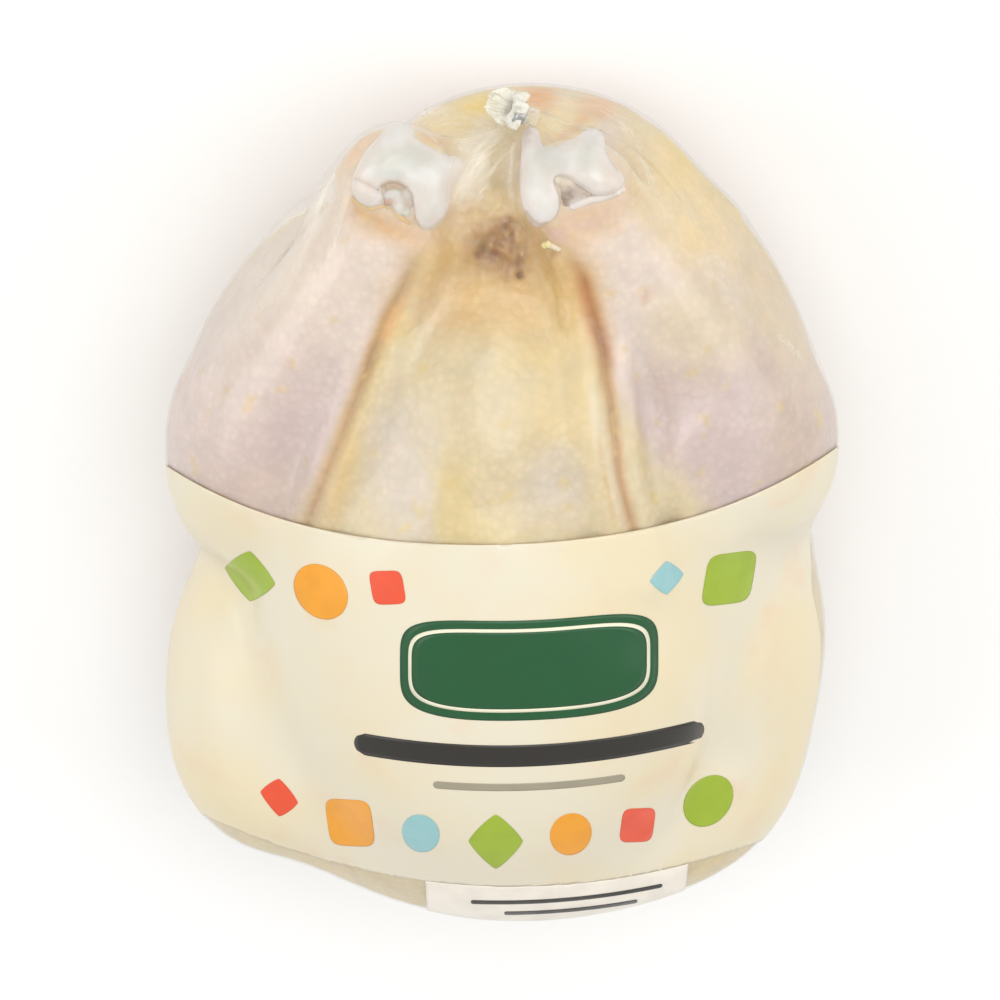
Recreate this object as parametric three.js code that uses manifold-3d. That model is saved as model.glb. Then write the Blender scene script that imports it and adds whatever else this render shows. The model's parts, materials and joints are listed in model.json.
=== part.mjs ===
// A whole raw chicken sealed in a clear shrink bag, lying on its back with the breast up.
// Millimetres. +Z is up, +Y runs from the neck to the tail, and +X is on the right when the bird is
// seen from above with its tail away. The origin is on the ground under the middle of the pack.
//
// The shrunk film follows the bird, so one closed solid is the outside of the pack: the smooth
// union of the bird's parts, met from outside along rays that leave the middle of the body. The
// bag's gathered neck is joined to it, and a metal clip goes round that neck.

import * as THREE from "three";
import { mergeVertices } from "three/addons/utils/BufferGeometryUtils.js";
import Module from "manifold-3d";

const wasm = await Module();
wasm.setup();

// Driving dimensions of the bird.
const BODY_MIDDLE = at(0, 0, 54);
const FILM_REACH = 15; // the film bridges the hollow between parts that come this close

// Egg-shaped parts, with a turn about Z in degrees. The two sides differ a little, as in any real
// bird. The trunk reaches below the ground, which presses its round back flat.
const EGGS = {
  trunk: { middle: at(2, -7, 50), half: at(66, 97, 58), turn: 0 },
  breast: { middle: at(1, -35, 63), half: at(56, 69, 45), turn: 0 },
  leftThigh: { middle: at(-50, 25, 50), half: at(25, 49, 38), turn: -24 },
  rightThigh: { middle: at(51, 30, 50), half: at(24, 51, 38), turn: 22 },
  leftWing: { middle: at(-59, -60, 44), half: at(25, 44, 32), turn: 0 },
  rightWing: { middle: at(59, -46, 46), half: at(22.5, 40, 30), turn: 0 },
  leftShoulder: { middle: at(-42, -74, 46), half: at(38, 28, 34), turn: 0 },
  rightShoulder: { middle: at(43, -76, 46), half: at(34, 30, 34), turn: 0 },
  neckEnd: { middle: at(6, -88, 52), half: at(61, 29, 36), turn: 0 },
  tail: { middle: at(8, 75, 46), half: at(34, 19, 36), turn: 0 },
};

// Round-ended parts, with a radius for each end.
const LIMBS = {
  leftDrumstick: { from: at(-55, 18, 64), to: at(-23, 88, 83.5), radii: [20, 11.5] },
  rightDrumstick: { from: at(56, 18, 64), to: at(20, 85, 84), radii: [21, 11.5] },
  filmBetweenHocks: { from: at(-24, 77, 76), to: at(20, 77, 76), radii: [13, 13] },
  funnelOfFilm: { from: at(7, 72, 60), to: at(7, 96.2, 70.5), radii: [12, 1.7] },
};

// The bag's gathered neck, which ends in a pleated tuft.
const NECK_AT = LIMBS.funnelOfFilm.to;
const NECK_DIRECTION = at(-0.8, 0.48, 0.36).normalize();
const NECK_RADIUS = LIMBS.funnelOfFilm.radii[1];
const NECK_ROOT = 5; // length buried in the funnel
const NECK_LENGTH = 7; // from the funnel to the tuft
const CRIMP_STRETCH = 1.3; // the clip crimps the neck to an oval
const TUFT_LENGTH = 5.5;
const TUFT_RADIUS = 2.8;
const TUFT_PLEATS = 7;
const PLEAT_DEPTH = 0.22; // as a share of the radius

// The crimped metal clip.
const CLIP_GAP = 0.35; // clear of the gathered film all round
const CLIP_WIRE = 1.2;
const CLIP_WIDTH = 2.6;
const CLIP_ROUNDING = 0.4;
const CLIP_ALONG_NECK = 4.8; // from the funnel to the clip's middle

// Facets of the pack, as segments round it and from the gathered end to the neck end.
const SEGMENTS_ROUND = 78;
const SEGMENTS_LONG = 50;
const NECK_SEGMENTS = 42;
const CLIP_SEGMENTS = 28;

const UP = at(0, 0, 1);
const LATHE_AXIS = at(0, 1, 0);

function at(x, y, z) {
  return new THREE.Vector3(x, y, z);
}

// Distance to an egg-shaped part with three half sizes, turned about Z.
function egg(middle, half, turnDegrees) {
  const turn = THREE.MathUtils.degToRad(turnDegrees);
  return (point) => {
    const scaled = point.clone().sub(middle).applyAxisAngle(UP, -turn).divide(half);
    const reach = scaled.length();
    const slope = scaled.divide(half).length();
    return (reach * (reach - 1)) / Math.max(slope, Number.EPSILON);
  };
}

// Distance to a limb that tapers from one round end to the other.
function limb(from, to, radii) {
  const along = to.clone().sub(from);
  return (point) => {
    const offset = point.clone().sub(from);
    const share = THREE.MathUtils.clamp(offset.dot(along) / along.lengthSq(), 0, 1);
    const radius = THREE.MathUtils.lerp(radii[0], radii[1], share);
    return offset.addScaledVector(along, -share).length() - radius;
  };
}

const birdParts = [
  ...Object.values(EGGS).map(({ middle, half, turn }) => egg(middle, half, turn)),
  ...Object.values(LIMBS).map(({ from, to, radii }) => limb(from, to, radii)),
];

// Two distances joined with a fillet, which is the film spanning the hollow between them.
function smoothUnion(a, b) {
  const closeness = Math.max(FILM_REACH - Math.abs(a - b), 0) / FILM_REACH;
  return Math.min(a, b) - (closeness ** 3 * FILM_REACH) / 6;
}

function distanceToPack(point) {
  return birdParts.reduce((d, part) => smoothUnion(d, part(point)), Infinity);
}

// How far the outside of the pack is from the middle of the body in one direction.
function packRadius(direction) {
  const outside = 200;
  const closeEnough = 0.005;
  const stepShare = 0.7;
  const mostSteps = 400;
  let radius = outside;
  for (let step = 0; step < mostSteps; step += 1) {
    const distance = distanceToPack(BODY_MIDDLE.clone().addScaledVector(direction, radius));
    if (distance < closeEnough) break;
    radius -= distance * stepShare;
  }
  const toGround = direction.z < 0 ? -BODY_MIDDLE.z / direction.z : Infinity;
  return Math.min(radius, toGround);
}

// A sphere whose pole faces the gathered neck, pulled out to the film.
function packGeometry() {
  const geometry = new THREE.SphereGeometry(1, SEGMENTS_ROUND, SEGMENTS_LONG);
  const position = geometry.getAttribute("position");
  const pole = NECK_AT.clone().sub(BODY_MIDDLE).normalize();
  const turn = new THREE.Quaternion().setFromUnitVectors(LATHE_AXIS, pole);
  const direction = new THREE.Vector3();
  for (let i = 0; i < position.count; i += 1) {
    direction.fromBufferAttribute(position, i).applyQuaternion(turn).normalize();
    const vertex = BODY_MIDDLE.clone().addScaledVector(direction, packRadius(direction));
    position.setXYZ(i, vertex.x, vertex.y, Math.max(vertex.z, 0));
  }
  return geometry;
}

// Makes a lathe's geometry oval, and turns its axis to run along the neck from the funnel.
function alongNeck(geometry) {
  const turn = new THREE.Quaternion().setFromUnitVectors(LATHE_AXIS, NECK_DIRECTION);
  geometry.scale(1, 1, CRIMP_STRETCH);
  return geometry.applyQuaternion(turn).translate(NECK_AT.x, NECK_AT.y, NECK_AT.z);
}

// The gathered film: a round neck that opens into a pleated tuft.
function neckGeometry() {
  const steps = 5;
  const profile = [new THREE.Vector2(0, -NECK_ROOT), new THREE.Vector2(NECK_RADIUS, -NECK_ROOT)];
  for (let step = 0; step <= steps; step += 1) {
    const share = step / steps;
    const radius = THREE.MathUtils.lerp(NECK_RADIUS, TUFT_RADIUS, Math.sin((share * Math.PI) / 2));
    profile.push(new THREE.Vector2(radius, NECK_LENGTH + share * TUFT_LENGTH));
  }
  const hollow = 0.6;
  profile.push(new THREE.Vector2(0, NECK_LENGTH + TUFT_LENGTH * hollow));
  const geometry = new THREE.LatheGeometry(profile, NECK_SEGMENTS);
  const position = geometry.getAttribute("position");
  for (let i = 0; i < position.count; i += 1) {
    const x = position.getX(i);
    const z = position.getZ(i);
    const openness = THREE.MathUtils.clamp((position.getY(i) - NECK_LENGTH) / TUFT_LENGTH, 0, 1);
    const pleat = 1 + openness * PLEAT_DEPTH * Math.cos(TUFT_PLEATS * Math.atan2(z, x));
    position.setX(i, x * pleat);
    position.setZ(i, z * pleat);
  }
  return alongNeck(geometry);
}

// The section of the clip's flat wire: a rectangle with rounded corners, clear of the film.
function wireSection() {
  const section = new THREE.Shape();
  const wireMiddle = NECK_RADIUS + CLIP_GAP + CLIP_WIRE / 2;
  const cornerX = CLIP_WIRE / 2 - CLIP_ROUNDING;
  const cornerY = CLIP_WIDTH / 2 - CLIP_ROUNDING;
  const corners = [[1, 1], [-1, 1], [-1, -1], [1, -1]];
  corners.forEach(([outward, upward], quarter) => {
    const startAngle = (quarter * Math.PI) / 2;
    const x = wireMiddle + outward * cornerX;
    section.absarc(x, upward * cornerY, CLIP_ROUNDING, startAngle, startAngle + Math.PI / 2);
  });
  return section.getPoints(1);
}

// The clip: the wire bent to an oval ring round the neck.
function clipGeometry() {
  const profile = wireSection();
  profile.push(profile[0].clone());
  const geometry = new THREE.LatheGeometry(profile, CLIP_SEGMENTS);
  geometry.translate(0, CLIP_ALONG_NECK, 0);
  return alongNeck(geometry);
}

function solidOf(geometry) {
  const bare = geometry.clone();
  bare.deleteAttribute("normal");
  bare.deleteAttribute("uv");
  const merged = mergeVertices(bare);
  const vertProperties = new Float32Array(merged.getAttribute("position").array);
  const triVerts = new Uint32Array(merged.index.array);
  return new wasm.Manifold(new wasm.Mesh({ numProp: 3, vertProperties, triVerts }));
}

function geometryOf(solid) {
  const { vertProperties, triVerts } = solid.getMesh();
  const geometry = new THREE.BufferGeometry();
  geometry.setAttribute("position", new THREE.BufferAttribute(vertProperties, 3));
  geometry.setIndex(new THREE.BufferAttribute(triVerts, 1));
  geometry.computeVertexNormals();
  return geometry;
}

function makeBaggedChicken() {
  const geometry = geometryOf(solidOf(packGeometry()).add(solidOf(neckGeometry())));
  const material = new THREE.MeshStandardMaterial({ color: 0xefe2c4, roughness: 0.35, metalness: 0 });
  const mesh = new THREE.Mesh(geometry, material);
  mesh.name = "bagged_chicken";
  return mesh;
}

function makeClip() {
  const material = new THREE.MeshStandardMaterial({ color: 0xa9adb0, roughness: 0.35, metalness: 1 });
  const mesh = new THREE.Mesh(clipGeometry(), material);
  mesh.name = "bag_clip";
  return mesh;
}

const pack = new THREE.Group();
pack.add(makeBaggedChicken(), makeClip());

// The origin goes on the ground under the middle of the whole pack.
const box = new THREE.Box3().setFromObject(pack, true);
const centre = box.getCenter(new THREE.Vector3());
pack.position.set(-centre.x, -centre.y, 0);

export default pack;
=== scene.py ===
# A whole raw chicken in its clear shrink bag: it lies on its back, breast up, hocks together at +Y.
# Sizes and places are in millimetres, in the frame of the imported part.
import json
import math
import bpy
import numpy as np
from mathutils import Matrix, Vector, noise
from mathutils.bvhtree import BVHTree

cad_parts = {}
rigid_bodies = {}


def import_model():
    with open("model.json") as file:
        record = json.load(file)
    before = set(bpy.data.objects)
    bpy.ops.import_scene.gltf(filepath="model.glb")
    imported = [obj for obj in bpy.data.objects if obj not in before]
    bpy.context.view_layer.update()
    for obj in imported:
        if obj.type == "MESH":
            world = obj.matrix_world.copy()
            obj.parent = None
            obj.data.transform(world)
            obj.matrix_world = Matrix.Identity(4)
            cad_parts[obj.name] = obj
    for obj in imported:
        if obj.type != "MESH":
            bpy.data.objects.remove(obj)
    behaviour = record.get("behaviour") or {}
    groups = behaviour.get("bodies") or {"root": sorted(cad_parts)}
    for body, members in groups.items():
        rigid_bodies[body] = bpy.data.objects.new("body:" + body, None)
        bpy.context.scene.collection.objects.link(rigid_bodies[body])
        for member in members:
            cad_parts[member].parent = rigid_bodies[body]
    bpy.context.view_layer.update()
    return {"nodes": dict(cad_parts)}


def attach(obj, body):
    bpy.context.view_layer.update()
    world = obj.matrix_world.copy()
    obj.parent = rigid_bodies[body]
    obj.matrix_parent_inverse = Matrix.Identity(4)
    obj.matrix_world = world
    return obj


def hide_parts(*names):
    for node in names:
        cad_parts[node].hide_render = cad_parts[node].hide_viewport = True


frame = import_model()
mm = 0.001
print("frame loaded")


# small helpers

def deselectAll():
    if bpy.context.object and bpy.context.object.mode != "OBJECT":
        bpy.ops.object.mode_set(mode="OBJECT")
    bpy.ops.object.select_all(action="DESELECT")


def pick(*pieces):
    deselectAll()
    for piece in pieces:
        piece.select_set(True)
    bpy.context.view_layer.objects.active = pieces[0]


def editAll(piece):  # opens a mesh with everything in it chosen
    pick(piece)
    bpy.ops.object.mode_set(mode="EDIT")
    bpy.ops.mesh.select_all(action="SELECT")


def named(name):  # for the object that was just added
    piece = bpy.context.object
    piece.name = name
    piece.data.name = name
    return piece


def modify(piece, kind, **settings):
    pick(piece)
    modifier = piece.modifiers.new(kind.title(), kind)
    for setting, value in settings.items():
        setattr(modifier, setting, value)
    bpy.ops.object.modifier_apply(modifier=modifier.name)


def remesh(piece, cell):
    modify(piece, "REMESH", mode="VOXEL", voxel_size=cell * mm)


def smooth(piece, rounds):
    modify(piece, "SMOOTH", factor=0.5, iterations=rounds)


def addGrid(name, columns, rows):  # a flat grid from -1 to 1 each way, and its vertex places
    bpy.ops.mesh.primitive_grid_add(x_subdivisions=columns, y_subdivisions=rows, size=2 * mm)
    grid = named(name)
    return grid, places(grid)


def join(name, pieces):
    pick(*pieces)
    bpy.ops.object.join()
    bpy.ops.object.transform_apply(location=True, rotation=True, scale=True)
    return named(name)


def copyOf(piece, name):
    double = bpy.data.objects.new(name, piece.data.copy())
    double.data.name = name
    bpy.context.scene.collection.objects.link(double)
    return double


def smoothShade(piece):
    pick(piece)
    bpy.ops.object.shade_smooth()


def places(piece):  # vertex places in millimetres
    flat = np.empty(len(piece.data.vertices) * 3)
    piece.data.vertices.foreach_get("co", flat)
    return flat.reshape(-1, 3) / mm


def normals(piece):
    flat = np.empty(len(piece.data.vertices) * 3)
    piece.data.vertex_normals.foreach_get("vector", flat)
    return flat.reshape(-1, 3)


def setPlaces(piece, points):
    piece.data.vertices.foreach_set("co", (points * mm).ravel())
    piece.data.update()


def paint(piece, name, values):  # one number or one colour per vertex
    kind = "FLOAT" if values.ndim == 1 else "FLOAT_COLOR"
    attribute = piece.data.attributes.new(name, kind, "POINT")
    if kind == "FLOAT":
        attribute.data.foreach_set("value", values)
    else:
        alpha = np.ones((len(values), 1))
        attribute.data.foreach_set("color", np.hstack([values, alpha]).ravel())


def smoothStep(low, high, value):
    share = np.clip((value - low) / (high - low), 0, 1)
    return share * share * (3 - 2 * share)


def lineDistance(points, line):  # nearest distance to a line of points, and how far along it
    nearest = np.full(len(points), np.inf)
    along = np.zeros(len(points))
    steps = len(line) - 1
    for step in range(steps):
        start, end = np.array(line[step], float), np.array(line[step + 1], float)
        span = end - start
        share = np.clip((points - start) @ span / (span @ span), 0, 1)
        distance = np.linalg.norm(points - start - share[:, None] * span, axis=1)
        closer = distance < nearest
        nearest = np.where(closer, distance, nearest)
        along = np.where(closer, (step + share) / steps, along)
    return nearest, along


def contentsTree(pieces):
    corners, faces = [], []
    for piece in pieces:
        first = len(corners)
        corners += [vertex.co / mm for vertex in piece.data.vertices]
        faces += [[first + index for index in face.vertices] for face in piece.data.polygons]
    return BVHTree.FromPolygons(corners, faces)


def noiseAt(points, size, seed=0):  # soft noise from -1 to 1, with lumps of about this size
    shift = Vector((seed * 7.3, seed * 3.1, seed * 5.7))
    return np.array([noise.noise(Vector(point) / size + shift) for point in points])


def noisesAt(points, size, *seeds):
    return np.stack([noiseAt(points, size, seed) for seed in seeds], axis=1)


def linear(red, green, blue):  # a colour as seen on screen, 0 to 255
    channels = []
    for channel in (red, green, blue):
        share = channel / 255
        channels.append(share / 12.92 if share <= 0.04045 else ((share + 0.055) / 1.055) ** 2.4)
    return channels


# skin tones as seen on screen: cream fat, lilac muscle under thin skin, yellow fat, and so on
tones = {name: np.array(linear(*colour)) for name, colour in {
    "cream": (232, 214, 174), "paleCream": (240, 226, 198), "paleYellow": (236, 213, 150),
    "yellow": (234, 206, 132), "deepYellow": (250, 214, 92), "orange": (238, 190, 124),
    "deepOrange": (244, 166, 62), "peach": (238, 200, 156), "peachWhite": (238, 214, 184),
    "pink": (232, 196, 178), "lilac": (224, 203, 196), "lilacWhite": (229, 216, 202),
    "paleLeg": (242, 225, 210), "tanLeg": (220, 198, 178), "tan": (230, 193, 128),
    # the crease tone and the brown and red-brown tones are also laid as painted shade along the creases
    "back": (238, 206, 184), "crease": (204, 158, 106), "brown": (176, 126, 78),
    "redBrown": (202, 130, 62), "fatYellow": (254, 231, 168), "fatOrange": (236, 188, 126),
    # the grey bone tone is painted shade on the cartilage
    "bone": (226, 225, 221), "boneShadeGrey": (208, 212, 207), "bonePink": (229, 217, 211),
    # except beige, the tones on this line and the next partly stand for painted shadow in the hock
    # notches and along the hock edges
    "gristleAndShade": (200, 197, 184), "beige": (222, 206, 180), "greyBrownShade": (176, 158, 144),
    "arcBrownShade": (184, 150, 118), "wetBrownAndShade": (126, 84, 66), "darkBrownShade": (92, 58, 42),
    # the darkest vent tone is dark tissue with painted shade in its pits; the palest vent tone, on the
    # next line, is pale tissue with painted light on its folds
    "wetRed": (176, 112, 72), "ventBrown": (172, 121, 54), "ventDarkAndShade": (132, 84, 30),
    "ventRed": (150, 90, 46), "ventOlive": (158, 126, 66), "ventPaleAndLit": (214, 174, 112),
    "ventTan": (206, 162, 102),
}.items()}


# the front view, which the camera takes

shot = {"tilt": math.radians(25), "distance": 667, "aim": Vector((1.5, 1.9, 54)), "lens": 100}
towardEye = Vector((0, math.sin(shot["tilt"]), math.cos(shot["tilt"])))
imageUp = Vector((0, math.cos(shot["tilt"]), -math.sin(shot["tilt"])))
eye = shot["aim"] + shot["distance"] * towardEye


def picturePlace(points):  # across and up the picture, in millimetres at the aim, and the depth
    away = points - np.array(eye)
    depth = -(away @ np.array(towardEye))
    scale = shot["distance"] / depth
    return np.stack([away[:, 0] * scale, away @ np.array(imageUp) * scale], axis=1), depth


def fromPicture(across, up, toward):  # the place seen there, this far nearer the eye than the aim
    depth = shot["distance"] - toward
    sideways = Vector((across, 0, 0)) + imageUp * up
    return eye - towardEye * depth + sideways * depth / shot["distance"]


def seenOn(tree, spot):  # where the eye sees this spot of the picture
    direction = (fromPicture(spot[0], spot[1], 0) - eye).normalized()
    return tree.ray_cast(eye, direction)[0]


def alongLine(line, spacing):
    stops = []
    for start, end in zip(line[:-1], line[1:]):
        start, end = Vector(start), Vector(end)
        steps = max(1, round((end - start).length / spacing))
        stops += [start.lerp(end, step / steps) for step in range(steps)]
    return stops + [Vector(line[-1])]


softEdge = (0.35, 1.5)  # where a spot starts to fade and where it ends, as shares of its size


def spot(picture, middle, size, turn=0):  # a soft-edged oval in the picture
    turned = math.radians(turn)
    across, up = (picture - np.array(middle)).T
    reach = np.hypot((across * math.cos(turned) + up * math.sin(turned)) / size[0],
                     (up * math.cos(turned) - across * math.sin(turned)) / size[1])
    return 1 - smoothStep(*softEdge, reach)


def tint(colours, tone, amount):
    return colours + (tones[tone] - colours) * np.clip(amount, 0, 1)[:, None]


def tintSpots(colours, picture, spots, share=1):
    for tone, strength, middle, size, turn in spots:
        colours = tint(colours, tone, strength * spot(picture, middle, size, turn) * share)
    return colours


# the clear film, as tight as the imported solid

neckAt = Vector((8.5, 102.1, 70.5))  # where the gathered neck leaves the funnel of film
neckDirection = Vector((-0.8, 0.48, 0.36)).normalized()
filmSize = {"cell": 1.45, "smoothing": 14, "tuftFrom": 4, "tuftReach": 6, "weld": 0.01}


def makeTightFilm():
    film = copyOf(frame["nodes"]["bagged_chicken"], "clearFilm")
    film.data.materials.clear()
    editAll(film)
    bpy.ops.mesh.remove_doubles(threshold=filmSize["weld"] * mm)
    bpy.ops.mesh.select_all(action="DESELECT")
    bpy.ops.mesh.select_mode(type="VERT")
    bpy.ops.object.mode_set(mode="OBJECT")
    for vertex in film.data.vertices:  # the gathered neck is made anew, as folds of film
        offset = vertex.co / mm - neckAt
        along = offset.dot(neckDirection)
        aside = (offset - along * neckDirection).length
        vertex.select = along > filmSize["tuftFrom"] and aside < filmSize["tuftReach"]
    bpy.ops.object.mode_set(mode="EDIT")
    bpy.ops.mesh.delete(type="VERT")
    bpy.ops.mesh.select_non_manifold()
    bpy.ops.mesh.fill()
    bpy.ops.object.mode_set(mode="OBJECT")
    modify(film, "SUBSURF", levels=1, render_levels=1)
    remesh(film, filmSize["cell"])
    smooth(film, filmSize["smoothing"])
    return film


film = makeTightFilm()
filmTree = contentsTree([film])
print("tight film:", len(film.data.polygons), "faces")


# the raw bird, from lumps of muscle joined under one skin

trunkEggs = {  # middle, half sizes, turn about Z in degrees
    "ribs": ((2, -22, 46), (60, 84, 52), 0),
    "breast": ((-1, -25, 60), (52, 92, 52), 0),
    "leftBreast": ((-19, -34, 63), (38, 62, 44), 6),
    "rightBreast": ((18, -34, 63), (38, 62, 44), -6),
    "belly": ((0, 20, 60), (36, 58, 44), 0),
    "bellySkin": ((2, 54, 64), (31, 28, 26), 0),
    "hollow": ((-1, 74, 67), (22, 18, 18), 0),
    "pelvis": ((5, 42, 38), (48, 56, 38), 0),
    "leftWing": ((-57, -54, 44), (27, 46, 34), 0),
    "rightWing": ((60, -41, 46), (25, 43, 32), 0),
    "leftShoulder": ((-40, -69, 46), (41, 30, 36), 0),
    "rightShoulder": ((44, -71, 46), (37, 32, 36), 0),
    "neckEnd": ((7, -82, 51), (63, 31, 38), 0),
    "tail": ((9, 84, 44), (30, 17, 29), 0),
    "rightRump": ((36, 68, 50), (22, 24, 33), 0),
    "leftKnuckle": ((-21.5, 91, 80.5), (13.5, 12.5, 12.5), 0),
    "rightKnuckle": ((18, 88, 80), (14, 12, 12.5), 0),
}
legEggs = {
    "left": [((-48, 31, 50), (24, 47, 36), -24), ((-55, 22, 63), (23, 27, 24), -15),
             ((-51, 14, 66), (18, 27, 22), 0)],
    "right": [((52, 36, 50), (23, 49, 36), 22), ((58, 24, 64), (23, 27, 24), 15),
              ((44, 22, 68), (21, 32, 27), 0)],
}
shanks = {  # from, to, radius at each end
    "left": ((-54, 26, 66), (-24.8, 80, 79), 21, 12.5),
    "right": ((57, 27, 66), (25.5, 80.6, 78), 22.5, 12.5),
}
birdSkin = {"coarseCell": 1.6, "cell": 1.42, "underFilm": 0.7, "legSmoothing": 40, "smoothing": 5,
            "lastSmoothing": 3, "bumpDepth": 0.18, "bumpSpacing": 3}
creases = {  # the folds between the legs and the breast, in the front view's picture
    "left": [(-20.4, 57.1), (-21.9, 53.3), (-23.5, 49.9), (-25.2, 46.8), (-27.4, 43.2), (-29.5, 37.9),
             (-31.0, 34.6), (-32.2, 30.7), (-33.9, 25.9), (-35.8, 21.6), (-38.4, 14.4), (-41.8, 6.2),
             (-44.9, -1.9), (-46.6, -7), (-50, -18)],
    "right": [(18.0, 57.1), (19.9, 52.8), (21.1, 48.0), (22.6, 43.2), (23.8, 39.6), (25.0, 36.0),
              (25.7, 28.8), (26.7, 24.0), (27.9, 14.4), (28.8, 4.8), (30.7, -2.4), (32.0, -7),
              (36, -18)],
}
creaseFill = {"spacing": 5, "radius": 9, "depth": 8}  # flesh under the folds, up to the film
grooves = {"depth": 1.1, "width": 1.7, "slit": 0.3, "slitWidth": 0.5, "endTaper": 3, "end": 0.97,
           "shallow": 0.4, "shallowTo": -8, "deepFrom": 24, "refinedWithin": ((2.6, 12), (1.2, 9))}
vent = {"at": (0.5, 60.5), "size": (8, 7), "depth": 2.0, "folds": 0.25, "foldGrain": (0.7, 0.4),
        "foldedWithin": (7, 7), "holeAt": (5.1, 54.0), "holeSize": 0.9, "holeDepth": 0.8}
notches = [  # where the torn joints are sunk between the knobs: depth, middle and size in the picture
    (2.4, (-25.2, 72.6), (3.6, 3.4)), (2.6, (16.0, 74.6), (3.2, 3.0)),
]


def addEgg(middle, half, turn=0):
    bpy.ops.mesh.primitive_uv_sphere_add(
        segments=48, ring_count=24, radius=mm, location=Vector(middle) * mm,
        rotation=(0, 0, math.radians(turn)), scale=half)
    return bpy.context.object


def addLimb(start, end, startRadius, endRadius):
    start, end = Vector(start) * mm, Vector(end) * mm
    span = end - start
    bpy.ops.mesh.primitive_cone_add(
        vertices=40, radius1=startRadius * mm, radius2=endRadius * mm, depth=span.length,
        location=(start + end) / 2, rotation=span.to_track_quat("Z", "Y").to_euler())
    cone = bpy.context.object
    bpy.ops.mesh.primitive_uv_sphere_add(
        segments=32, ring_count=16, radius=endRadius * mm, location=end)
    return [cone, bpy.context.object]


def makeLeg(side):
    leg = join(side + "Leg", [addEgg(*lump) for lump in legEggs[side]] + addLimb(*shanks[side]))
    remesh(leg, birdSkin["coarseCell"])
    smooth(leg, birdSkin["legSmoothing"])
    return leg


def proceduralTexture(name, kind, size):
    texture = bpy.data.textures.new(name, kind)
    texture.noise_scale = size * mm
    return texture


def fillCreases():
    lumps = []
    for line in creases.values():
        for stop in alongLine(line, creaseFill["spacing"]):
            surface = seenOn(filmTree, stop)
            nearest, outward, face, distance = filmTree.find_nearest(surface)
            lumps.append(addEgg(surface - outward * creaseFill["depth"], (creaseFill["radius"],) * 3))
    return lumps


def makeBird():
    lumps = [addEgg(*lump) for lump in trunkEggs.values()] + fillCreases()
    bird = join("rawBird", lumps + [makeLeg("left"), makeLeg("right")])
    remesh(bird, birdSkin["coarseCell"])
    smooth(bird, birdSkin["smoothing"])
    modify(bird, "SHRINKWRAP", target=film, wrap_method="NEAREST_SURFACEPOINT",
           wrap_mode="INSIDE", offset=birdSkin["underFilm"] * mm)
    remesh(bird, birdSkin["cell"])
    smooth(bird, birdSkin["lastSmoothing"])
    return bird


def strokeDistance(picture, line):  # distance from a line in the front view's picture
    flat = np.hstack([picture, np.zeros((len(picture), 1))])
    return lineDistance(flat, [(across, up, 0) for across, up in line])


def facingEye(piece):
    return smoothStep(0.05, 0.3, normals(piece) @ np.array(towardEye))


def refineAt(piece, mask):  # splits the faces round the chosen vertices
    for vertex, chosen in zip(piece.data.vertices, mask):
        vertex.select = bool(chosen)
    pick(piece)
    bpy.ops.object.mode_set(mode="EDIT")
    bpy.ops.mesh.select_more()
    bpy.ops.mesh.subdivide(number_cuts=1, smoothness=0)
    bpy.ops.object.mode_set(mode="OBJECT")


def creaseDistance(picture):
    return np.min([strokeDistance(picture, line)[0] for line in creases.values()], axis=0)


def refineGrooves():
    for creaseReach, ventReach in grooves["refinedWithin"]:
        picture = picturePlace(places(bird))[0]
        ventNear = np.linalg.norm(picture - np.array(vent["at"]), axis=1)
        close = (creaseDistance(picture) < creaseReach) | (ventNear < ventReach)
        for depth, middle, size in notches:
            close |= np.linalg.norm(picture - np.array(middle), axis=1) < creaseReach + size[0]
        refineAt(bird, close & (facingEye(bird) > 0.5))


def ventFolds(picture):  # ragged folds that run up and down the picture
    stretched = picture * np.array(vent["foldGrain"])
    return noiseAt(np.hstack([stretched, np.zeros((len(picture), 1))]), 1, 14)


def pressGrooves():
    points, outward, facing = places(bird), normals(bird), facingEye(bird)
    picture = picturePlace(points)[0]
    pressed = np.zeros(len(points))
    deepens = smoothStep(grooves["shallowTo"], grooves["deepFrom"], picture[:, 1])
    for line in creases.values():
        near, along = strokeDistance(picture, line)
        ends = np.sin(np.pi * np.clip(along, 0, grooves["end"])) * grooves["endTaper"]
        ends = np.clip(ends, 0, 1) * (grooves["shallow"] + (1 - grooves["shallow"]) * deepens)
        pressed += ends * grooves["depth"] * np.exp(-(near / grooves["width"]) ** 2)
        pressed += ends * grooves["slit"] * np.exp(-(near / grooves["slitWidth"]) ** 2)
    offset = (picture - np.array(vent["at"])) / np.array(vent["size"])
    ragged = 0.6 + 0.5 * noiseAt(points, 3, 4)
    ventDepth = vent["depth"] * ragged + vent["folds"] * ventFolds(picture)
    pressed += np.exp(-(offset ** 2).sum(axis=1)) * ventDepth
    holeNear = np.linalg.norm(picture - np.array(vent["holeAt"]), axis=1)
    pressed += vent["holeDepth"] * np.exp(-(holeNear / vent["holeSize"]) ** 2)
    for depth, middle, size in notches:
        pressed += depth * spot(picture, middle, size)
    setPlaces(bird, points - outward * (pressed * facing)[:, None])


bird = makeBird()
bpy.context.tool_settings.mesh_select_mode = (True, False, False)
refineGrooves()
smoothBird = copyOf(bird, "smoothBird")  # the film spans the grooves that come next
pressGrooves()
gooseBumps = proceduralTexture("gooseBumps", "VORONOI", birdSkin["bumpSpacing"])
modify(bird, "DISPLACE", texture=gooseBumps, texture_coords="LOCAL",
       strength=-birdSkin["bumpDepth"] * mm, mid_level=0.5)
print("bird:", len(bird.data.polygons), "faces")


# the white joint ends of the shanks, with torn tissue and the cut edge of the skin round them

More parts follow.
